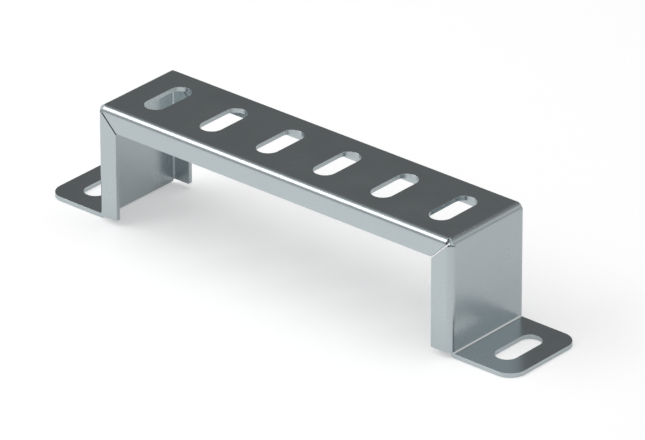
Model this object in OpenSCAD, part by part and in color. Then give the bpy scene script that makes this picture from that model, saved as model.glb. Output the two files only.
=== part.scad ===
// Cable tray standoff bracket, folded from one sheet: a bridge on two legs, with a foot on each.
// X runs along the bridge, Y across it and Z up. The origin is on the ground, under the middle.

/* [Sheet] */
// Thickness of the sheet
sheet_t = 1.6; // [1:0.1:2.2]
// Inside radius of every fold
fold_r = 0.8; // [0.5:0.1:1.6]

/* [Bridge] */
// Length over the outer faces of the two legs
bridge_len = 155.2; // [148:0.4:220]
// Height of the top face above the ground
bridge_h = 43.3; // [30:0.1:90]
// Width of the strip that makes the top, the legs and the feet, without its flanges
strip_w = 35; // [31:0.5:60]

/* [Flanges] */
// Depth of the two flanges of the top, from the top face to their lower edge
top_flange_depth = 8.2; // [5:0.1:16]
// Width of the four flanges of the legs, from the leg's outer face to their free edge
leg_flange_w = 8.4; // [5:0.1:16]
// Gap between the two flanges that meet in a mitre at each corner
mitre_gap = 0.5; // [0.2:0.1:0.7]
// Height of the lower ends of the leg flanges above the ground
flange_lift = 2; // [1.8:0.1:8]

/* [Slots] */
// Number of slots along the top
slot_count = 6; // [1:1:6]
// Distance between the middles of two neighbouring slots
slot_pitch = 25; // [12:0.5:27]
// Width of every slot
slot_w = 8.2; // [5:0.1:11]
// Length of every slot over its round ends
slot_len = 20.2; // [12:0.2:28]

/* [Feet] */
// Length of a foot, from the outer face of its leg to its free edge
foot_len = 25; // [21:0.5:60]
// Radius of the two free corners of a foot
foot_corner_r = 6.4; // [1:0.1:15]
// Distance from the outer face of a leg to the middle of the slot in its foot
foot_slot_x = 13.2; // [8:0.1:18]

/* [Hidden] */
// Outside radius of every fold
fold_outer_r = sheet_t + fold_r;
// Distance from the middle to the outer face of a leg
leg_x = bridge_len / 2;
// Distance from the middle, and height, at which the top's fold into a leg begins and ends
fold_x = leg_x - fold_outer_r;
fold_z = bridge_h - fold_outer_r;
// Width over the flanges
body_w = strip_w + 2 * sheet_t;
// How far a flange's end keeps, upright, from the 45 degree line that a mitre follows
mitre_shift = mitre_gap / sqrt(2);
// Width that stays flat between the folds of two opposite flanges
flat_w = strip_w - 2 * fold_r;
// How far a cut runs past the sheet that it goes through
cut_past = 1;
// Segments of a full circle
$fn = 96;

// Section of a fold: a quarter ring about the origin, from +X round to +Y
module fold_section() {
    intersection() {
        difference() {
            circle(r = fold_outer_r);
            circle(r = fold_r);
        }
        square(fold_outer_r + cut_past);
    }
}

// Seen from the front, the half of the strip at +X: top, fold, leg, fold and foot
module half_strip_section() {
    translate([0, bridge_h - sheet_t])
        square([fold_x, sheet_t]);
    translate([fold_x, fold_z])
        fold_section();
    translate([leg_x - sheet_t, fold_outer_r])
        square([sheet_t, fold_z - fold_outer_r]);
    translate([leg_x + fold_r, fold_outer_r])
        rotate(180)
            fold_section();
    translate([leg_x + fold_r, 0])
        square([foot_len - fold_r, sheet_t]);
}

// A shape seen from the front, as thick as w along Y and centred on y = 0
module from_front(w) {
    rotate([90, 0, 0])
        linear_extrude(height = w, center = true)
            children();
}

// The children and their mirror image across the plane x = 0
module at_both_legs() {
    children();
    mirror([1, 0, 0])
        children();
}

// The children and their mirror image across the plane y = 0
module on_both_sides() {
    children();
    mirror([0, 1, 0])
        children();
}

// What is cut from one edge of the strip, so that its flanges can fold there
module edge_notch() {
    notch_w = fold_r + cut_past;
    translate([-fold_x, flat_w / 2, fold_z - cut_past])
        cube([2 * fold_x, notch_w, fold_outer_r + 2 * cut_past]);
    at_both_legs()
        translate([fold_x, flat_w / 2, flange_lift])
            cube([fold_outer_r + fold_r + cut_past, notch_w, fold_z - flange_lift]);
}

// One slot, upright and long along Y, as tall as the sheet that it goes through and more
module slot() {
    end_y = (slot_len - slot_w) / 2;
    translate([0, 0, -cut_past])
        linear_extrude(height = sheet_t + 2 * cut_past) {
            square([slot_w, 2 * end_y], center = true);
            for (y = [-end_y, end_y])
                translate([0, y])
                    circle(d = slot_w);
        }
}

// The row of slots in the top
module top_slots() {
    for (i = [0 : slot_count - 1])
        translate([(i - (slot_count - 1) / 2) * slot_pitch, 0, bridge_h - sheet_t])
            slot();
}

// What is cut from the free corner of a foot to round it
module foot_corner() {
    translate([leg_x + foot_len - foot_corner_r, strip_w / 2 - foot_corner_r, -cut_past])
        linear_extrude(height = sheet_t + 2 * cut_past)
            difference() {
                square(foot_corner_r + cut_past);
                circle(r = foot_corner_r);
            }
}

// The strip: top, legs and feet, with its slots and its rounded feet
module strip() {
    difference() {
        from_front(strip_w)
            at_both_legs()
                half_strip_section();
        on_both_sides()
            edge_notch();
        top_slots();
        at_both_legs() {
            translate([leg_x + foot_slot_x, 0, 0])
                slot();
            on_both_sides()
                foot_corner();
        }
    }
}

// Section of a fold with its flange, which ends w below the outer face of the sheet that it folds from
module flange_section(w) {
    fold_section();
    translate([fold_r, fold_outer_r - w])
        square([sheet_t, w - fold_outer_r]);
}

// The fold and the flange along one edge of the top, between its two mitres
module top_flange() {
    intersection() {
        translate([-fold_x, flat_w / 2, fold_z])
            rotate([90, 0, 90])
                linear_extrude(height = 2 * fold_x)
                    flange_section(top_flange_depth);
        from_front(body_w + cut_past)
            polygon([
                [0, bridge_h - leg_x + mitre_shift],
                [leg_x + cut_past, bridge_h + cut_past + mitre_shift],
                [-leg_x - cut_past, bridge_h + cut_past + mitre_shift],
            ]);
    }
}

// The fold and the flange along one edge of a leg, up to its mitre
module leg_flange() {
    intersection() {
        translate([fold_x, flat_w / 2, flange_lift])
            linear_extrude(height = fold_z - flange_lift)
                mirror([1, -1])
                    flange_section(leg_flange_w);
        from_front(body_w + cut_past)
            polygon([
                [leg_x + cut_past, bridge_h + cut_past - mitre_shift],
                [leg_x + cut_past, -cut_past],
                [leg_x - bridge_h - cut_past + mitre_shift, -cut_past],
            ]);
    }
}

// The whole bracket, one folded sheet
module bracket() {
    color("silver") {
        strip();
        on_both_sides() {
            top_flange();
            at_both_legs()
                leg_flange();
        }
    }
}

bracket();
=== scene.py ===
"""Looks of a cable tray standoff bracket that is folded from one zinc-plated steel sheet.

The bracket is made the way the real one is: a flat blank is cut out, its edges are eased, and a formula
folds it. Sizes are in millimetres and angles in radians, except where a name ends in _m or _deg, and MM
turns them into metres. X runs along the bridge, Y across it and Z up, with the origin on the ground under
the middle of the bracket.
"""

import logging
import math
from dataclasses import dataclass
from enum import Enum, IntEnum

import bpy
import numpy as np
from mathutils import Matrix, Vector
from mathutils.geometry import delaunay_2d_cdt


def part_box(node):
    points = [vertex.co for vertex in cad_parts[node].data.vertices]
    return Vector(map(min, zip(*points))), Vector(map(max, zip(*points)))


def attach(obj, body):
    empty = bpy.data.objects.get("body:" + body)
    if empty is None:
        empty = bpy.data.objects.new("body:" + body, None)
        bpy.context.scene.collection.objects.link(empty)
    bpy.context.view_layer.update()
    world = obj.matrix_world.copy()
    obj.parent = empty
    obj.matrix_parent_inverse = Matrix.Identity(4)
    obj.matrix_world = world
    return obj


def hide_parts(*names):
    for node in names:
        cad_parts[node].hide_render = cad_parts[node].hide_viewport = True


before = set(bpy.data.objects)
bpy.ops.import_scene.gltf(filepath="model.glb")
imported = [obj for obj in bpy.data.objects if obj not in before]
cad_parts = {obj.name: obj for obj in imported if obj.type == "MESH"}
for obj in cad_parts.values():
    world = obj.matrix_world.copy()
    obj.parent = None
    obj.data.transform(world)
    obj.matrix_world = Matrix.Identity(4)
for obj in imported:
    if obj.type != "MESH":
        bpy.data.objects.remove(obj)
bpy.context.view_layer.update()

MM = 0.001
QUARTER = math.pi / 2
PICTURE_W = 645
# The triangulation's setting that keeps the triangles of the whole hull.
WHOLE_HULL = 0

Join = tuple[bpy.types.Node, str | int, bpy.types.Node, str | int]

log = logging.getLogger("bracket")


class Finish(Enum):
    """The two surfaces of the plated sheet, in the order of the material slots of its mesh."""

    FACE = 0
    CUT_EDGE = 1


class MixInput(IntEnum):
    """Places of a Mix node's inputs, because those for floats and those for colours share their names."""

    FACTOR = 0
    FLOAT_A = 2
    FLOAT_B = 3
    COLOUR_A = 6
    COLOUR_B = 7


class MixResult(IntEnum):
    """Places of a Mix node's outputs."""

    FLOAT = 0
    COLOUR = 2


@dataclass(frozen=True)
class BracketSizes:
    """Driving sizes of the bracket.

    The first three are read from the frame. The others are the sizes that the part was designed with.
    """

    overall_len: float
    overall_w: float
    bridge_h: float
    sheet_t: float = 1.6
    fold_r: float = 0.8
    foot_len: float = 25.0
    top_flange_depth: float = 8.2
    leg_flange_w: float = 8.4
    mitre_gap: float = 0.5
    flange_lift: float = 2.0
    slot_count: int = 6
    slot_pitch: float = 25.0
    slot_w: float = 8.2
    slot_len: float = 20.2
    foot_corner_r: float = 6.4
    foot_slot_x: float = 13.2

    @property
    def mid_r(self) -> float:
        """Radius of a fold at the middle of the sheet."""
        return self.fold_r + self.sheet_t / 2

    @property
    def outer_r(self) -> float:
        """Radius of a fold at the outer face of the sheet."""
        return self.fold_r + self.sheet_t

    @property
    def fold_run(self) -> float:
        """Length of sheet that goes into one fold, at the middle of the sheet."""
        return self.mid_r * QUARTER

    @property
    def strip_half(self) -> float:
        """Half the width of the strip that makes the top, the legs and the feet."""
        return self.overall_w / 2 - self.sheet_t

    @property
    def flat_half(self) -> float:
        """Half the width that stays flat between two flange folds."""
        return self.strip_half - self.fold_r

    @property
    def leg_x(self) -> float:
        """Distance from the middle to the outer face of a leg."""
        return self.overall_len / 2 - self.foot_len


def round_corners(path: np.ndarray, radius: np.ndarray, steps: np.ndarray) -> tuple[np.ndarray, np.ndarray]:
    """Turns each corner of a closed path into an arc that touches both of its edges.

    The arc begins radius * tan(turn / 2) before the corner, where turn is the angle between the edges. Its
    centre lies one radius to the side that the path turns to, and it runs from the normal of the first edge
    to that of the second.

    Args:
        path: Corners as rows of (u, v), with the sheet on the left.
        radius: Radius of each arc.
        steps: Number of straight steps in each arc.

    Returns:
        Points as rows of (u, v), and the unit normal at each, which points away from the sheet.
    """
    before = path - np.roll(path, 1, axis=0)
    after = np.roll(path, -1, axis=0) - path
    before /= np.linalg.norm(before, axis=1, keepdims=True)
    after /= np.linalg.norm(after, axis=1, keepdims=True)
    cross = before[:, 0] * after[:, 1] - before[:, 1] * after[:, 0]
    turn = np.arctan2(cross, (before * after).sum(axis=1))
    count = steps + 1
    which = np.repeat(np.arange(len(path)), count)
    step = np.arange(count.sum()) - np.repeat(np.cumsum(count) - count, count)
    share = step / steps[which]
    first_normal = np.column_stack([before[:, 1], -before[:, 0]])
    bend = np.sign(turn)
    tangent_len = radius * np.abs(np.tan(turn / 2))
    centre = path - before * tangent_len[:, None] - first_normal * (radius * bend)[:, None]
    angle = turn[which] * share
    cosine, sine = np.cos(angle), np.sin(angle)
    start = first_normal[which]
    normal = np.column_stack([
        start[:, 0] * cosine - start[:, 1] * sine,
        start[:, 0] * sine + start[:, 1] * cosine,
    ])
    points = centre[which] + normal * (radius * bend)[which][:, None]
    return points, normal


@dataclass(frozen=True)
class Blank:
    """The flat blank, in blank coordinates: u along the strip, v across it, w up through the sheet.

    u is 0 at the middle of the top, v is 0 on the middle of the width, and w is 0 halfway through the
    thickness. The places below are all on the side where u and v are positive. A slit is the narrow cut
    that frees the end of a fold. A fold line only divides the mesh of a fold, and the insets keep the first
    or last line clear of its ends.
    """

    sizes: BracketSizes
    slit: float = 0.1
    slit_corner_share: float = 0.45
    corner_r: float = 0.14
    free_corner_r: float = 0.35
    corner_steps: int = 6
    foot_corner_steps: int = 24
    slot_end_steps: int = 28
    fold_line_count: int = 10
    fold_line_inset: float = 0.3
    foot_line_inset: float = 0.2
    flange_line_inset: float = 0.35

    @property
    def top_end(self) -> float:
        """u at which the top's flat part ends and the fold into the leg begins."""
        return self.sizes.leg_x - self.sizes.outer_r

    @property
    def leg_start(self) -> float:
        """u at which the leg's flat part begins."""
        return self.top_end + self.sizes.fold_run

    @property
    def leg_end(self) -> float:
        """u at which the leg's flat part ends and the fold into the foot begins."""
        return self.leg_start + self.sizes.bridge_h - 2 * self.sizes.outer_r

    @property
    def foot_start(self) -> float:
        """u at which the foot's flat part begins."""
        return self.leg_end + self.sizes.fold_run

    @property
    def foot_end(self) -> float:
        """u of the free edge of the foot."""
        return self.foot_start + self.sizes.foot_len - self.sizes.fold_r

    @property
    def wall_start(self) -> float:
        """v at which a flange's flat wall begins, past its fold."""
        return self.sizes.flat_half + self.sizes.fold_run

    @property
    def flange_end(self) -> float:
        """u of the lower end of a leg's flange, which reaches a little past the leg's flat part."""
        return self.leg_end + self.sizes.outer_r - self.sizes.flange_lift

    def quadrant(self) -> tuple[np.ndarray, np.ndarray]:
        """Corners of the outline where u and v are positive, from the foot's free corner inwards.

        Returns:
            The corners as rows of (u, v), and the radius of each.
        """
        s = self.sizes
        fold_v = s.flat_half
        edge_v = s.strip_half
        shift = s.mitre_gap / math.sqrt(2)
        leg_wall = s.leg_flange_w - s.outer_r
        top_wall = s.top_flange_depth - s.outer_r
        slit_r = self.slit_corner_share * self.slit
        foot_edge = self.flange_end + self.slit
        rows = [
            (self.foot_end, edge_v, s.foot_corner_r),
            (foot_edge, edge_v, self.corner_r),
            (foot_edge, fold_v, slit_r),
            (self.leg_end, fold_v, slit_r),
            (self.leg_end, fold_v + self.slit, slit_r),
            (self.flange_end, fold_v + self.slit, self.corner_r),
            (self.flange_end, self.wall_start + leg_wall, self.free_corner_r),
            (self.leg_start + shift + leg_wall, self.wall_start + leg_wall, self.corner_r),
            (self.leg_start, self.wall_start - shift, self.corner_r),
            (self.leg_start, fold_v, slit_r),
            (self.leg_start - self.slit, fold_v, slit_r),
            (self.leg_start - self.slit, edge_v, self.corner_r),
            (self.top_end + self.slit, edge_v, self.corner_r),
            (self.top_end + self.slit, fold_v, slit_r),
            (self.top_end, fold_v, slit_r),
            (self.top_end, self.wall_start - shift, self.corner_r),
            (self.top_end - shift - top_wall, self.wall_start + top_wall, self.corner_r),
        ]
        table = np.array(rows)
        return table[:, :2], table[:, 2]

    def outline(self) -> tuple[np.ndarray, np.ndarray]:
        """The blank's outer edge, with rounded corners, as a closed path that keeps the sheet on its left.

        The corners of one quadrant are mirrored into the other three, in turn backwards and forwards.

        Returns:
            Points as rows of (u, v), and the unit normal at each, which points away from the sheet.
        """
        corners, radii = self.quadrant()
        mirror_u = np.array([-1.0, 1.0])
        mirror_v = np.array([1.0, -1.0])
        path = np.vstack([corners, corners[::-1] * mirror_u, -corners, corners[::-1] * mirror_v])
        radius = np.concatenate([radii, radii[::-1], radii, radii[::-1]])
        steps = np.where(radius < self.sizes.foot_corner_r, self.corner_steps, self.foot_corner_steps)
        return round_corners(path, radius, steps)

    def slot_centres(self) -> np.ndarray:
        """u of the middle of each slot: those of the top at even steps, and one in each foot.

        Returns:
            One value for each slot.
        """
        s = self.sizes
        along_top = (np.arange(s.slot_count) - (s.slot_count - 1) / 2) * s.slot_pitch
        in_foot = self.foot_start + s.foot_slot_x - s.fold_r
        return np.concatenate([along_top, [-in_foot, in_foot]])

    def slot_outline(self, centre_u: float) -> tuple[np.ndarray, np.ndarray]:
        """The edge of one slot, as a closed path that keeps the sheet on its left.

        Two half circles, joined by the straight sides: going round the hole clockwise, the angle falls from
        a half turn to nothing over the far end, and on to minus a half turn over the near end.

        Args:
            centre_u: u of the slot's middle.

        Returns:
            Points as rows of (u, v), and the unit normal at each, which points into the hole.
        """
        s = self.sizes
        radius = s.slot_w / 2
        end_v = (s.slot_len - s.slot_w) / 2
        sweep = np.linspace(0.0, math.pi, self.slot_end_steps + 1)
        angle = np.concatenate([math.pi - sweep, -sweep])
        middle_v = np.repeat([end_v, -end_v], len(sweep))
        outward = np.column_stack([np.cos(angle), np.sin(angle)])
        points = outward * radius + np.column_stack([np.full(len(angle), centre_u), middle_v])
        return points, -outward

    def fold_lines_u(self) -> np.ndarray:
        """u of the lines that divide the folds between the top, the legs and the feet.

        Returns:
            One value for each line, those of the negative half first.
        """
        run = self.sizes.fold_run
        count = self.fold_line_count
        inset = self.fold_line_inset
        upper = self.top_end + np.linspace(inset, run - inset, count)
        lower = self.leg_end + np.append(np.linspace(inset, run - self.foot_line_inset, count), run)
        one_half = np.concatenate([upper, lower])
        return np.concatenate([-one_half, one_half])

    def fold_lines_v(self) -> np.ndarray:
        """v of the lines that divide the folds of the flanges.

        Returns:
            One value for each line, those of the negative side first.
        """
        steps = np.linspace(self.flange_line_inset, self.sizes.fold_run, self.fold_line_count)
        one_side = self.sizes.flat_half + steps
        return np.concatenate([-one_side, one_side])

    def is_flange(self, far_u: np.ndarray, far_v: np.ndarray) -> np.ndarray:
        """Tells which places belong to a flange or its fold.

        Args:
            far_u: u of each place without its sign.
            far_v: v of each place without its sign.

        Returns:
            One truth value for each place.
        """
        half_slit = self.slit / 2
        by_top = far_u < self.top_end + half_slit
        by_leg = (far_u > self.leg_start - half_slit) & (far_u < self.flange_end + half_slit)
        return (far_v > self.sizes.flat_half) & (by_top | by_leg)

    def crease_highlight(self, points: np.ndarray) -> np.ndarray:
        """How much painted highlight each place gets, for a bright line of light along the inner crease of
        a fold.

        The painted highlight lies only on the inner side of the folds into the feet. The share is the
        squared sine of twice the angle that the fold has reached, so it rises from nothing where the fold
        begins to 1 at its middle, and falls back to nothing.

        Args:
            points: Rows of (u, v, w).

        Returns:
            A share from 0 to 1 for each point.
        """
        far_u, far_v = np.abs(points[:, 0]), np.abs(points[:, 1])
        highlight_mask = (points[:, 2] > 0) & ~self.is_flange(far_u, far_v)
        folded = np.clip((far_u - self.leg_end) / self.sizes.fold_run, 0.0, 1.0)
        return np.where(highlight_mask, np.sin(math.pi * folded) ** 2, 0.0)

    def flat_corners(self, inset: float) -> np.ndarray:
        """Corners of the flat parts of the top and of both legs, each moved in by the same inset.

        Args:
            inset: How far each corner stays inside its flat part.

        Returns:
            An array of 3 rectangles, each with 4 corners as rows of (u, v), counter-clockwise.
        """
        spans = np.array([
            [-self.top_end, self.top_end],
            [self.leg_start, self.leg_end],
            [-self.leg_end, -self.leg_start],
        ]) + np.array([inset, -inset])
        side = self.sizes.flat_half - inset
        return np.array([
            [(low, -side), (high, -side), (high, side), (low, side)] for low, high in spans
        ])

    def fold(self, points: np.ndarray, normals: np.ndarray) -> tuple[np.ndarray, np.ndarray]:
        """Folds points and normals of the blank into the finished shape.

        The flanges fold first. Past the line where a flange begins, v turns into an angle, v over the
        middle radius, up to a right angle, and what is left runs straight down. Then the strip folds about
        Y: u turns into an angle down from the top into the leg, and back again from the leg into the foot.
        Each place is the middle of the sheet there, plus its height above the middle along the folded
        normal.

        Args:
            points: Rows of (u, v, w).
            normals: Unit normals in the same directions.

        Returns:
            Rows of (x, y, z) in millimetres, and their unit normals.
        """
        s = self.sizes
        u, v, w = points.T
        along, across, up = normals.T
        side_u = np.where(u < 0, -1.0, 1.0)
        side_v = np.where(v < 0, -1.0, 1.0)
        far_u = np.abs(u)
        far_v = np.abs(v)
        flange = self.is_flange(far_u, far_v)
        angle = np.where(flange, np.clip((far_v - s.flat_half) / s.mid_r, 0.0, QUARTER), 0.0)
        down = np.where(flange, np.maximum(far_v - self.wall_start, 0.0), 0.0)
        y = np.where(flange, s.flat_half + (s.mid_r + w) * np.sin(angle), far_v) * side_v
        height = (s.mid_r + w) * np.cos(angle) - s.mid_r - down
        out = across * side_v
        normal_y = (out * np.cos(angle) + up * np.sin(angle)) * side_v
        normal_h = up * np.cos(angle) - out * np.sin(angle)

        held_u = np.where(flange, np.minimum(far_u, self.leg_end), far_u)
        ahead = far_u - held_u
        first = np.clip((held_u - self.top_end) / s.mid_r, 0.0, QUARTER)
        second = np.clip((held_u - self.leg_end) / s.mid_r, 0.0, QUARTER)
        leg_run = np.clip(held_u - self.leg_start, 0.0, self.leg_end - self.leg_start)
        foot_run = np.maximum(held_u - self.foot_start, 0.0)
        tilt = first - second
        out_by_folds = s.mid_r * (np.sin(first) + 1 - np.cos(second))
        down_by_folds = s.mid_r * (1 - np.cos(first) + np.sin(second))
        middle_x = np.minimum(held_u, self.top_end) + out_by_folds + foot_run
        middle_z = s.bridge_h - s.sheet_t / 2 - down_by_folds - leg_run
        x = (middle_x + height * np.sin(tilt) + ahead * np.cos(tilt)) * side_u
        z = middle_z + height * np.cos(tilt) - ahead * np.sin(tilt)
        out = along * side_u
        normal_x = (out * np.cos(tilt) + normal_h * np.sin(tilt)) * side_u
        normal_z = normal_h * np.cos(tilt) - out * np.sin(tilt)
        return np.column_stack([x, y, z]), np.column_stack([normal_x, normal_y, normal_z])


@dataclass(frozen=True)
class Rim:
    """The band along one cut edge, made of rings of points from the outer face round to the inner face.

    Points and normals are rows of (u, v, w), ring after ring. The quads count the points from 0, and the
    finish is the material slot of each quad.
    """

    points: np.ndarray
    normals: np.ndarray
    quads: np.ndarray
    finish: np.ndarray
    ring_len: int

    @property
    def outer_ring(self) -> np.ndarray:
        """Places of the points that border the outer face."""
        return np.arange(self.ring_len)

    @property
    def inner_ring(self) -> np.ndarray:
        """Places of the points that border the inner face."""
        return np.arange(len(self.points) - self.ring_len, len(self.points))


@dataclass(frozen=True)
class CutEdgeProfile:
    """Section of a cut edge: an eased corner at the outer face, the cut, and one at the inner face."""

    sheet_t: float
    outer_ease: float = 0.09
    inner_ease: float = 0.06
    ease_steps: int = 4

    def ease(self, radius: float) -> np.ndarray:
        """An eased corner at the outer face, as a quarter circle that runs from the face to the cut.

        Args:
            radius: Radius of the ease.

        Returns:
            Rows of (inset from the outline, height, outward part of the normal, upward part).
        """
        sweep = np.linspace(QUARTER, 0.0, self.ease_steps + 1)
        cosine, sine = np.cos(sweep), np.sin(sweep)
        height = self.sheet_t / 2 - radius * (1 - sine)
        return np.column_stack([radius * (1 - cosine), height, cosine, sine])

    def section(self) -> np.ndarray:
        """The rows of both eases in order. The inner one is turned over, so that it runs from the cut."""
        turned_over = np.array([1, -1, 1, -1])
        return np.vstack([self.ease(self.outer_ease), self.ease(self.inner_ease)[::-1] * turned_over])

    def carry(self, path: np.ndarray, away: np.ndarray) -> Rim:
        """Carries the section along a closed path.

        Each row of the section gives a ring: the path less the inset times its normals, at the row's
        height. The band between the two eases is the cut itself, and the others have the finish of the
        faces.

        Args:
            path: Rows of (u, v).
            away: Unit normals of the path, which point away from the sheet.

        Returns:
            The band along the path.
        """
        inset, height, outward, upward = (part[:, None, None] for part in self.section().T)
        flat = path - inset * away
        column = flat.shape[:2] + (1,)
        points = np.concatenate([flat, np.broadcast_to(height, column)], axis=2)
        normals = np.concatenate([outward * away, np.broadcast_to(upward, column)], axis=2)
        count = len(path)
        ring, place = np.meshgrid(np.arange(len(inset) - 1), np.arange(count), indexing="ij")
        here = ring * count + place
        following = ring * count + (place + 1) % count
        quads = np.stack([here, here + count, following + count, following], axis=-1)
        finish = np.where(ring == self.ease_steps, Finish.CUT_EDGE.value, Finish.FACE.value)
        return Rim(
            points=points.reshape(-1, 3),
            normals=normals.reshape(-1, 3),
            quads=quads.reshape(-1, 4),
            finish=finish.reshape(-1),
            ring_len=count,
        )


@dataclass(frozen=True)
class FoldedSheet:
    """Builds the bracket's mesh from its blank: an eased rim on every cut edge, and the two faces between.

    The flat inset is how far the corners that tie down each flat part of a face stay inside it. Points
    closer than the merge distance count as one.
    """

    blank: Blank
    profile: CutEdgeProfile
    flat_inset: float = 0.22
    merge_distance: float = 1e-5

    @staticmethod
    def split_at(
        points: np.ndarray, normals: np.ndarray, axis: int, levels: np.ndarray
    ) -> tuple[np.ndarray, np.ndarray]:
        """Adds a point to a closed path wherever it crosses one of some levels.

        A crossing lies a share of the way along its edge, (level - start) / (end - start), and its normal
        is mixed by the same share.

        Args:
            points: The path as rows of (u, v).
            normals: Its unit normals.
            axis: 0 for levels of u, 1 for levels of v.
            levels: The levels.

        Returns:
            The path and its normals with the crossings added in order.
        """
        following = np.roll(points, -1, axis=0)
        following_normals = np.roll(normals, -1, axis=0)
        start = points[:, axis][:, None]
        end = following[:, axis][:, None]
        crosses = (start - levels) * (end - levels) < 0
        edge, level = np.nonzero(crosses)
        share = (levels[level] - start[edge, 0]) / (end[edge, 0] - start[edge, 0])
        extra = points[edge] + (following[edge] - points[edge]) * share[:, None]
        extra_normals = normals[edge] + (following_normals[edge] - normals[edge]) * share[:, None]
        extra_normals /= np.linalg.norm(extra_normals, axis=1, keepdims=True)
        order = np.argsort(np.concatenate([np.arange(len(points)), edge + share]), kind="stable")
        return np.vstack([points, extra])[order], np.vstack([normals, extra_normals])[order]

    def cut_paths(self) -> list[tuple[np.ndarray, np.ndarray]]:
        """Every cut edge: the outline, with a point at each fold line, and the slots.

        Returns:
            Points and unit normals of each closed path, the outline's first.
        """
        points, normals = self.blank.outline()
        points, normals = self.split_at(points, normals, 0, self.blank.fold_lines_u())
        points, normals = self.split_at(points, normals, 1, self.blank.fold_lines_v())
        slots = [self.blank.slot_outline(centre) for centre in self.blank.slot_centres()]
        return [(points, normals)] + slots

    def on_line(self, outline: np.ndarray, axis: int, level: float) -> np.ndarray:
        """Indices of the outline's points at a level of u (axis 0) or of v (axis 1), in order along it."""
        found = np.flatnonzero(np.abs(outline[:, axis] - level) < self.merge_distance)
        return found[np.argsort(outline[found, 1 - axis])]

    def fold_edges(self, outline: np.ndarray) -> np.ndarray:
        """Pairs of outline points that a fold line joins.

        A line of constant u is wanted where it crosses the middle of the strip, and a line of constant v
        where it runs along a flange.

        Args:
            outline: Rows of (u, v) of the outline.

        Returns:
            Rows of two indices into the outline.
        """
        blank = self.blank
        pairs = []
        for level in blank.fold_lines_u():
            crossed = self.on_line(outline, 0, level)
            v = outline[crossed, 1]
            pairs.append((crossed[v < 0][-1], crossed[v > 0][0]))
        for level in blank.fold_lines_v():
            ends = self.on_line(outline, 1, level).reshape(-1, 2)
            middle = np.abs(outline[ends, 0].mean(axis=1))
            on_top = middle < blank.top_end
            on_leg = (middle > blank.leg_start) & (middle < blank.leg_end)
            pairs.extend(ends[on_top | on_leg].tolist())
        return np.array(pairs)

    def fill(self, rings: list[np.ndarray], fold_edges: np.ndarray) -> tuple[np.ndarray, np.ndarray]:
        """Triangles between the outline's ring and the slots' rings, with an edge along every fold line.

        Args:
            rings: The rings as rows of (u, v), the outline's first.
            fold_edges: Pairs of points of the outline's ring to join.

        Returns:
            The added corners of the flat parts as rows of (u, v), and triangles that count the rings'
            points in order and then the corners.
        """
        rectangles = list(self.blank.flat_corners(self.flat_inset))
        loops = rings + rectangles
        points = np.vstack(loops)
        starts = np.cumsum([0] + [len(loop) for loop in loops])
        edges = [fold_edges]
        for start, loop in zip(starts, loops):
            here = start + np.arange(len(loop))
            edges.append(np.column_stack([here, np.roll(here, -1)]))
        flat = [Vector(row) for row in points.tolist()]
        out_points, _, faces, origin, _, _ = delaunay_2d_cdt(
            flat, np.vstack(edges).tolist(), [], WHOLE_HULL, self.merge_distance, True
        )
        if len(out_points) != len(points):
            raise RuntimeError(f"the fill has {len(out_points)} points, and {len(points)} were given")
        back = np.array([sources[0] for sources in origin])
        triangles = back[np.array(faces)]
        middle = points[triangles].mean(axis=1)
        return np.vstack(rectangles), triangles[self.on_sheet(middle, rings)]

    @staticmethod
    def on_sheet(points: np.ndarray, rings: list[np.ndarray]) -> np.ndarray:
        """Whether each point lies on the sheet: inside the outline and in no slot.

        A ray from the point towards +u crosses the rings an odd number of times when the point is on the
        sheet.

        Args:
            points: Rows of (u, v).
            rings: The outline's ring and the slots' rings.

        Returns:
            One truth value for each point.
        """
        start = np.vstack(rings)
        end = np.vstack([np.roll(ring, -1, axis=0) for ring in rings])
        u, v = points[:, 0][:, None], points[:, 1][:, None]
        spans = (start[:, 1] > v) != (end[:, 1] > v)
        rise = np.where(start[:, 1] == end[:, 1], 1.0, end[:, 1] - start[:, 1])
        meets = start[:, 0] + (v - start[:, 1]) * (end[:, 0] - start[:, 0]) / rise
        return (spans & (u < meets)).sum(axis=1) % 2 == 1

    def build(self, name: str) -> bpy.types.Object:
        """Lays out the whole mesh on the blank, and has it folded.

        The rims come first, and then the corners of the outer and the inner face. A face's triangles count
        its own rings and corners at first, and are renumbered to the points of the whole mesh.

        Args:
            name: The object's name.

        Returns:
            The object, with its folded mesh in metres, exact normals, the blank's u and v as its UV map,
            and the share of painted highlight along the inner folds as a point attribute. Its origin is the
            frame's.
        """
        paths = self.cut_paths()
        fold_edges = self.fold_edges(paths[0][0])
        rims = [self.profile.carry(path, away) for path, away in paths]
        starts = np.cumsum([0] + [len(rim.points) for rim in rims])
        total = starts[-1]
        points = [rim.points for rim in rims]
        normals = [rim.normals for rim in rims]
        faces = []
        outer_borders = [rim.outer_ring for rim in rims]
        inner_borders = [rim.inner_ring for rim in rims]
        for side, borders in ((1, outer_borders), (-1, inner_borders)):
            rings = [rim.points[border, :2] for rim, border in zip(rims, borders)]
            corners, triangles = self.fill(rings, fold_edges)
            numbers = [border + start for border, start in zip(borders, starts)]
            numbers.append(total + np.arange(len(corners)))
            total += len(corners)
            faces.append(np.concatenate(numbers)[triangles[:, ::side]])
            height = side * self.blank.sizes.sheet_t / 2
            points.append(np.column_stack([corners, np.full(len(corners), height)]))
            normals.append(np.tile([0.0, 0.0, float(side)], (len(corners), 1)))

        quads = np.vstack([rim.quads + start for rim, start in zip(rims, starts)])
        triangles = np.vstack(faces)
        face_finish = np.full(len(triangles), Finish.FACE.value)
        finish = np.concatenate([rim.finish for rim in rims] + [face_finish])
        return self.make_object(name, np.vstack(points), np.vstack(normals), [quads, triangles], finish)

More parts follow.
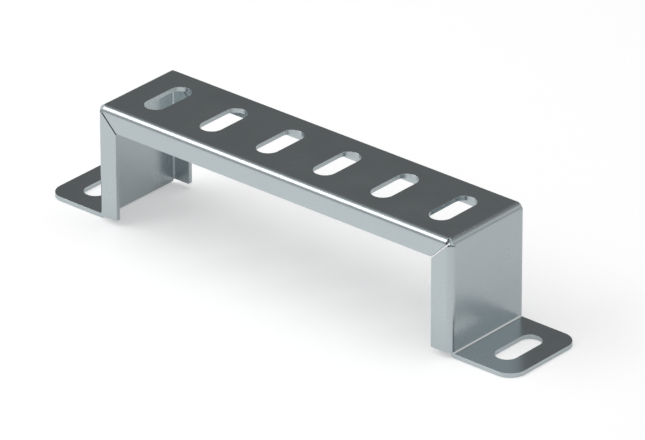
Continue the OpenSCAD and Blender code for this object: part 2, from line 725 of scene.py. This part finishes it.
    def make_object(
        self,
        name: str,
        points: np.ndarray,
        normals: np.ndarray,
        faces: list[np.ndarray],
        finish: np.ndarray,
    ) -> bpy.types.Object:
        """Folds the flat layout and puts it into a new mesh.

        Args:
            name: Name of the mesh and its object.
            points: Corners of the mesh on the blank, as rows of (u, v, w).
            normals: Unit normal at each corner.
            faces: Corners of the faces, in one array for each number of corners.
            finish: Material slot of each face.

        Returns:
            The linked object.
        """
        folded, folded_normals = self.blank.fold(points, normals)
        loops = np.concatenate([part.reshape(-1) for part in faces]).astype(np.int32)
        sizes = np.concatenate([np.full(len(part), part.shape[1]) for part in faces]).astype(np.int32)
        starts = (np.cumsum(sizes) - sizes).astype(np.int32)
        mesh = bpy.data.meshes.new(name)
        mesh.vertices.add(len(points))
        mesh.vertices.foreach_set("co", (folded * MM).astype(np.float32).reshape(-1))
        mesh.loops.add(len(loops))
        mesh.loops.foreach_set("vertex_index", loops)
        mesh.polygons.add(len(sizes))
        mesh.polygons.foreach_set("loop_start", starts)
        mesh.polygons.foreach_set("material_index", finish.astype(np.int32))
        mesh.polygons.foreach_set("use_smooth", np.ones(len(sizes), dtype=bool))
        uv_map = mesh.uv_layers.new(name="blank")
        uv_map.data.foreach_set("uv", (points * MM)[loops, :2].astype(np.float32).reshape(-1))
        mesh.update(calc_edges=True)
        mesh.validate()
        mesh.normals_split_custom_set_from_vertices(folded_normals.tolist())
        # Share of the painted highlight: a near-white tone along the inner side of the folds into the feet.
        crease_highlight = mesh.attributes.new("crease_highlight", "FLOAT", "POINT")
        crease_highlight.data.foreach_set("value", self.blank.crease_highlight(points).astype(np.float32))
        return add_object(name, mesh)


def add_object(name: str, data: bpy.types.ID) -> bpy.types.Object:
    """Makes an object and links it to the scene.

    Args:
        name: The object's name.
        data: Its mesh, lamp or camera.

    Returns:
        The linked object.
    """
    made = bpy.data.objects.new(name, data)
    bpy.context.scene.collection.objects.link(made)
    return made


def empty_material(name: str) -> bpy.types.Material:
    """Makes a material whose node tree holds nothing yet.

    Args:
        name: The material's name.

    Returns:
        The material.
    """
    made = bpy.data.materials.new(name)
    made.use_nodes = True
    made.node_tree.nodes.clear()
    return made


def wire(tree: bpy.types.NodeTree, *joins: Join) -> None:
    """Joins the sockets of a tree's nodes, for each link from a node's output to the input of another."""
    for source, output, fed, socket in joins:
        tree.links.new(source.outputs[output], fed.inputs[socket])


def node(
    tree: bpy.types.NodeTree,
    kind: str,
    at: tuple[float, float],
    inputs: dict[str | int, object] | None = None,
    **settings: object,
) -> bpy.types.Node:
    """Adds a node to a tree.

    Args:
        tree: The node tree.
        kind: The node's type name.
        at: Its place in the editor.
        inputs: Values for its input sockets, by name or place.
        **settings: Attributes to set on it, before its inputs.

    Returns:
        The new node.
    """
    made = tree.nodes.new(kind)
    made.location = at
    for key, value in settings.items():
        setattr(made, key, value)
    for key, value in (inputs or {}).items():
        made.inputs[key].default_value = value
    return made


def plating_texture() -> bpy.types.NodeTree:
    """Builds a shader node group for the fine surface of zinc plating, for the faces and the cut edges.

    It makes soft clouds, and a fine grain drawn out along u, which is the rolling direction. It puts out
    the clouds as the tone, a mix of the clouds and the grain as the roughness, and the grain as the height.

    Returns:
        The group.
    """
    cloud_detail = 3.0
    cloud_roughness = 0.55
    grain_detail = 2.0
    grain_in_roughness = 0.35
    group = bpy.data.node_groups.new("zinc_plating_texture", "ShaderNodeTree")
    face = group.interface
    face.new_socket("Vector", in_out="INPUT", socket_type="NodeSocketVector")
    for title in ("Cloud Scale", "Grain Scale", "Grain Stretch"):
        face.new_socket(title, in_out="INPUT", socket_type="NodeSocketFloat")
    for title in ("Tone", "Roughness", "Height"):
        face.new_socket(title, in_out="OUTPUT", socket_type="NodeSocketFloat")
    start = node(group, "NodeGroupInput", (-1000, 0))
    end = node(group, "NodeGroupOutput", (400, 0))
    cloud_shape = {"Detail": cloud_detail, "Roughness": cloud_roughness}
    clouds = node(group, "ShaderNodeTexNoise", (-500, 250), cloud_shape)
    stretch = node(group, "ShaderNodeCombineXYZ", (-800, -100), {"Y": 1.0, "Z": 1.0})
    along = node(group, "ShaderNodeVectorMath", (-640, -60), operation="MULTIPLY")
    grain = node(group, "ShaderNodeTexNoise", (-460, -60), {"Detail": grain_detail})
    shares = {MixInput.FACTOR: grain_in_roughness}
    mixed = node(group, "ShaderNodeMix", (-200, 120), shares, data_type="FLOAT")
    wire(
        group,
        (start, "Vector", clouds, "Vector"),
        (start, "Cloud Scale", clouds, "Scale"),
        (start, "Grain Stretch", stretch, "X"),
        (start, "Vector", along, 0),
        (stretch, "Vector", along, 1),
        (along, "Vector", grain, "Vector"),
        (start, "Grain Scale", grain, "Scale"),
        (clouds, "Fac", mixed, MixInput.FLOAT_A),
        (grain, "Fac", mixed, MixInput.FLOAT_B),
        (clouds, "Fac", end, "Tone"),
        (mixed, MixResult.FLOAT, end, "Roughness"),
        (grain, "Fac", end, "Height"),
    )
    return group


@dataclass(frozen=True)
class ZincFinish:
    """A zinc-plated surface: its tones, the spread of its gloss, its grain and its clouds.

    The texture's roughness is spread over the finish's own range. The texture seldom leaves its usual span,
    which is given by the least and the most. The scales are in waves per metre of the flat blank.
    """

    name: str
    dark_tone: tuple[float, float, float]
    light_tone: tuple[float, float, float]
    # Tone of the painted highlight along the inner side of the folds into the feet.
    crease_highlight_tone: tuple[float, float, float]
    smoothest: float
    roughest: float
    grain_depth: float
    cloud_scale: float
    grain_scale: float
    grain_stretch: float
    texture_least: float = 0.3
    texture_most: float = 0.7

    def material(self, texture: bpy.types.NodeTree) -> bpy.types.Material:
        """Makes the material.

        Args:
            texture: The group of the shared plating texture.

        Returns:
            The material, which follows the UV map of the flat blank.
        """
        made = empty_material(self.name)
        tree = made.node_tree
        place = node(tree, "ShaderNodeUVMap", (-1000, 0), uv_map="blank")
        scales = {
            "Cloud Scale": self.cloud_scale,
            "Grain Scale": self.grain_scale,
            "Grain Stretch": self.grain_stretch,
        }
        plating = node(tree, "ShaderNodeGroup", (-760, 0), scales, node_tree=texture)
        tone = node(tree, "ShaderNodeMix", (-460, 220), data_type="RGBA")
        tone.inputs[MixInput.COLOUR_A].default_value = (*self.dark_tone, 1.0)
        tone.inputs[MixInput.COLOUR_B].default_value = (*self.light_tone, 1.0)
        # Painted highlight: the tone turns towards the highlight tone along the inner side of the folds
        # into the feet.
        highlight_mask = node(tree, "ShaderNodeAttribute", (-460, 460), attribute_name="crease_highlight")
        toned = node(tree, "ShaderNodeMix", (-260, 320), data_type="RGBA")
        toned.inputs[MixInput.COLOUR_B].default_value = (*self.crease_highlight_tone, 1.0)
        gloss = node(tree, "ShaderNodeMapRange", (-460, -20), {
            "From Min": self.texture_least,
            "From Max": self.texture_most,
            "To Min": self.smoothest,
            "To Max": self.roughest,
        })
        bump = {"Strength": 1.0, "Distance": self.grain_depth * MM}
        relief = node(tree, "ShaderNodeBump", (-460, -300), bump)
        shader = node(tree, "ShaderNodeBsdfPrincipled", (-120, 100), {"Metallic": 1.0})
        output = node(tree, "ShaderNodeOutputMaterial", (220, 100))
        wire(
            tree,
            (place, "UV", plating, "Vector"),
            (plating, "Tone", tone, MixInput.FACTOR),
            (plating, "Roughness", gloss, "Value"),
            (plating, "Height", relief, "Height"),
            (highlight_mask, "Fac", toned, MixInput.FACTOR),
            (tone, MixResult.COLOUR, toned, MixInput.COLOUR_A),
            (toned, MixResult.COLOUR, shader, "Base Color"),
            (gloss, "Result", shader, "Roughness"),
            (relief, "Normal", shader, "Normal"),
            (shader, "BSDF", output, "Surface"),
        )
        return made


class Bracket:
    """The dressed bracket: its mesh, its two finishes and its place in the frame."""

    node_name = "bracket"
    slot_name = "zinc_plated_steel"
    piece_name = "folded_bracket"
    face_finish = ZincFinish(
        name="zinc_plated_face",
        dark_tone=(0.505, 0.562, 0.582),
        light_tone=(0.54, 0.6, 0.62),
        # A near-white painted highlight along the inner crease of the folds into the feet.
        crease_highlight_tone=(0.93, 0.97, 0.98),
        smoothest=0.23,
        roughest=0.29,
        grain_depth=0.0004,
        cloud_scale=55.0,
        grain_scale=1600.0,
        grain_stretch=0.1,
    )
    edge_finish = ZincFinish(
        name="zinc_plated_cut_edge",
        dark_tone=(0.48, 0.532, 0.55),
        light_tone=(0.545, 0.603, 0.622),
        crease_highlight_tone=(0.545, 0.603, 0.622),
        smoothest=0.22,
        roughest=0.3,
        grain_depth=0.001,
        cloud_scale=300.0,
        grain_scale=2500.0,
        grain_stretch=1.0,
    )

    def __init__(self) -> None:
        """Reads the overall sizes from the frame."""
        low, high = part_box(self.node_name)
        length, width, height = ((high - low) / MM)[:]
        sizes = BracketSizes(overall_len=length, overall_w=width, bridge_h=height)
        self.sheet = FoldedSheet(Blank(sizes), CutEdgeProfile(sizes.sheet_t))

    def build(self) -> bpy.types.Object:
        """Builds, dresses and seats the bracket, and reports it.

        Returns:
            The finished piece.
        """
        piece = self.sheet.build(self.piece_name)
        texture = plating_texture()
        piece.data.materials.append(self.face_finish.material(texture))
        piece.data.materials.append(self.edge_finish.material(texture))
        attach(piece, "root")
        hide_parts(self.node_name)
        log.info("%s: %d faces", piece.name, len(piece.data.polygons))
        return piece


def direction(azimuth_deg: float, elevation_deg: float) -> Vector:
    """Unit vector from the bracket to a place around it.

    Args:
        azimuth_deg: Angle from X towards Y.
        elevation_deg: Angle up from the ground.

    Returns:
        The vector (cos a cos e, sin a cos e, sin e), with a for the azimuth and e for the elevation.
    """
    azimuth = math.radians(azimuth_deg)
    elevation = math.radians(elevation_deg)
    level = math.cos(elevation)
    return Vector((math.cos(azimuth) * level, math.sin(azimuth) * level, math.sin(elevation)))


@dataclass(frozen=True)
class SkyLobe:
    """One broad patch of light in the surround, by where the bracket sees its middle."""

    azimuth_deg: float
    elevation_deg: float
    sharpness: float
    strength: float


@dataclass(frozen=True)
class SoftLamp:
    """A soft rectangular lamp that faces the bracket."""

    name: str
    azimuth_deg: float
    elevation_deg: float
    distance_m: float
    width_m: float
    height_m: float
    radiance: float

    def build(self) -> bpy.types.Object:
        """Makes the lamp. Its power in watts is its radiance times pi times its area.

        Returns:
            The lamp, turned towards the bracket.
        """
        data = bpy.data.lights.new(self.name, "AREA")
        data.shape = "RECTANGLE"
        data.size = self.width_m
        data.size_y = self.height_m
        data.energy = self.radiance * math.pi * self.width_m * self.height_m
        lamp = add_object(self.name, data)
        place = direction(self.azimuth_deg, self.elevation_deg) * self.distance_m
        turn = place.to_track_quat("Z", "Y").to_matrix().to_4x4()
        lamp.matrix_world = Matrix.Translation(place) @ turn
        return lamp


@dataclass(frozen=True)
class Studio:
    """Pale floor, a softly graded surround and two soft lamps.

    The floor's glow in metal fades from its strength in front of the bracket, up to front_y, to its
    strength behind the bracket, from back_y on. The floor lies a hair below the feet, so that it never
    meets them.
    """

    floor_half: float = 6000.0
    floor_drop: float = 0.02
    floor_tone: float = 0.83
    floor_roughness: float = 0.42
    floor_glow: float = 0.37
    metal_glow_in_front: float = 0.21
    metal_glow_behind: float = 0.08
    front_y: float = -20.0
    back_y: float = 50.0
    surround_tone: float = 0.15
    lobes: tuple[SkyLobe, ...] = (
        SkyLobe(azimuth_deg=240.0, elevation_deg=62.0, sharpness=5.0, strength=0.73),
        SkyLobe(azimuth_deg=50.0, elevation_deg=24.0, sharpness=11.0, strength=0.58),
        SkyLobe(azimuth_deg=229.0, elevation_deg=10.0, sharpness=8.0, strength=0.25),
    )
    lamps: tuple[SoftLamp, ...] = (
        SoftLamp(
            "key_lamp", azimuth_deg=219.0, elevation_deg=43.0, distance_m=1.4,
            width_m=1.3, height_m=0.43, radiance=3.1,
        ),
        SoftLamp(
            "overhead_lamp", azimuth_deg=60.0, elevation_deg=81.0, distance_m=1.4,
            width_m=1.0, height_m=1.0, radiance=1.95,
        ),
    )

    def build(self) -> None:
        """Builds the floor, the surround and the lamps."""
        self.build_floor()
        self.build_surround()
        for lamp in self.lamps:
            lamp.build()

    def build_floor(self) -> None:
        """Builds a large pale sheet just under the feet, as a stage and no piece of the model."""
        square = np.array([[-1, -1], [1, -1], [1, 1], [-1, 1]]) * self.floor_half
        corners = np.column_stack([square, np.full(len(square), -self.floor_drop)]) * MM
        mesh = bpy.data.meshes.new("floor")
        mesh.from_pydata(corners.tolist(), [], [(0, 1, 2, 3)])
        floor = add_object("floor", mesh)
        floor.data.materials.append(self.floor_material())

    def floor_material(self) -> bpy.types.Material:
        """Satin white that takes shadows, with a glow that only the camera, reflections and glass see.

        The camera sees the same glow everywhere. Reflections and glass see one that changes along Y in a
        smooth step, from its strength in front of the bracket to its strength behind.

        Returns:
            The material.
        """
        made = empty_material("pale_floor")
        tree = made.node_tree
        satin = node(tree, "ShaderNodeBsdfPrincipled", (-200, 120), {
            "Base Color": (self.floor_tone, self.floor_tone, self.floor_tone, 1.0),
            "Roughness": self.floor_roughness,
        })
        path = node(tree, "ShaderNodeLightPath", (-800, -120))
        mirrored = node(tree, "ShaderNodeMath", (-600, -220), operation="MAXIMUM")
        in_metal = node(tree, "ShaderNodeMath", (-420, -220), operation="MULTIPLY")
        ground = node(tree, "ShaderNodeTexCoord", (-1200, -420))
        across = node(tree, "ShaderNodeSeparateXYZ", (-1000, -420))
        fade = {
            "From Min": self.back_y * MM,
            "From Max": self.front_y * MM,
            "To Min": self.metal_glow_behind,
            "To Max": self.metal_glow_in_front,
        }
        faded = node(tree, "ShaderNodeMapRange", (-800, -420), fade, interpolation_type="SMOOTHSTEP")
        camera_glow = {1: self.floor_glow}
        strength = node(tree, "ShaderNodeMath", (-220, -120), camera_glow, operation="MULTIPLY_ADD")
        glow = node(tree, "ShaderNodeEmission", (0, -60))
        both = node(tree, "ShaderNodeAddShader", (200, 60))
        output = node(tree, "ShaderNodeOutputMaterial", (400, 60))
        wire(
            tree,
            (path, "Is Glossy Ray", mirrored, 0),
            (path, "Is Transmission Ray", mirrored, 1),
            (mirrored, "Value", in_metal, 0),
            (ground, "Object", across, "Vector"),
            (across, "Y", faded, "Value"),
            (faded, "Result", in_metal, 1),
            (path, "Is Camera Ray", strength, 0),
            (in_metal, "Value", strength, 2),
            (strength, "Value", glow, "Strength"),
            (satin, "BSDF", both, 0),
            (glow, "Emission", both, 1),
            (both, "Shader", output, "Surface"),
        )
        return made

    def build_surround(self) -> None:
        """Builds an even dim surround with broad patches of light.

        Each patch adds its strength times a power of the cosine between the direction looked in and its
        middle.
        """
        world = bpy.data.worlds.new("studio_surround")
        world.use_nodes = True
        bpy.context.scene.world = world
        tree = world.node_tree
        background = tree.nodes["Background"]
        background.inputs["Strength"].default_value = 1.0
        looked_in = node(tree, "ShaderNodeTexCoord", (-1200, 0))
        total = node(tree, "ShaderNodeValue", (-1000, -200))
        total.outputs["Value"].default_value = self.surround_tone
        for number, lobe in enumerate(self.lobes):
            row = -180 * number
            middle = {1: direction(lobe.azimuth_deg, lobe.elevation_deg)}
            cosine = node(tree, "ShaderNodeVectorMath", (-960, row), middle, operation="DOT_PRODUCT")
            ahead = node(tree, "ShaderNodeMath", (-780, row), {1: 0.0}, operation="MAXIMUM")
            patch = node(tree, "ShaderNodeMath", (-600, row), {1: lobe.sharpness}, operation="POWER")
            added = node(tree, "ShaderNodeMath", (-420, row), {1: lobe.strength}, operation="MULTIPLY_ADD")
            wire(
                tree,
                (looked_in, "Generated", cosine, 0),
                (cosine, "Value", ahead, 0),
                (ahead, "Value", patch, 0),
                (patch, "Value", added, 0),
                (total, "Value", added, 2),
            )
            total = added
        wire(tree, (total, "Value", background, "Color"))


@dataclass(frozen=True)
class PhotographView:
    """The photograph's camera, found by laying the bracket's edges over those in the picture.

    The camera looks at a point near the middle of the bracket from far away, and is turned a little about
    its own line of sight.
    """

    azimuth: float = 0.713
    elevation: float = 0.4724
    roll: float = -0.0023
    distance: float = 2598.2
    px_per_mm: float = 3.0026
    target: tuple[float, float, float] = (0.0, 0.0, 20.0)
    aside: float = 4.5757
    above: float = -1.6538
    sensor_w: float = 36.0
    clip_end_m: float = 100.0

    def build(self) -> bpy.types.Object:
        """Makes the camera that the scene renders through.

        Right is level, up leans back over the bracket, and back points from the bracket to the camera. The
        lens is as long as it takes for a millimetre at the target to cover its share of the picture's
        pixels.

        Returns:
            The camera.
        """
        sin_a, cos_a = math.sin(self.azimuth), math.cos(self.azimuth)
        sin_e, cos_e = math.sin(self.elevation), math.cos(self.elevation)
        right = Vector((cos_a, sin_a, 0.0))
        up = Vector((-sin_a * sin_e, cos_a * sin_e, cos_e))
        back = Vector((sin_a * cos_e, -cos_a * cos_e, sin_e))
        turned_right = right * math.cos(self.roll) + up * math.sin(self.roll)
        turned_up = up * math.cos(self.roll) - right * math.sin(self.roll)
        looked_at = Vector(self.target) + turned_right * self.aside + turned_up * self.above
        place = (looked_at + back * self.distance) * MM
        data = bpy.data.cameras.new("photograph_view")
        data.sensor_width = self.sensor_w
        data.lens = self.px_per_mm * self.distance * self.sensor_w / PICTURE_W
        data.clip_end = self.clip_end_m
        camera = add_object("photograph_view", data)
        turn = Matrix((turned_right, turned_up, back)).transposed().to_4x4()
        camera.matrix_world = Matrix.Translation(place) @ turn
        bpy.context.scene.camera = camera
        return camera


def main() -> None:
    """Builds the camera, the studio and the bracket."""
    logging.basicConfig(level=logging.INFO, format="%(name)s: %(message)s")
    bpy.context.scene.view_settings.view_transform = "Standard"
    PhotographView().build()
    Studio().build()
    Bracket().build()


if __name__ == "__main__":
    main()
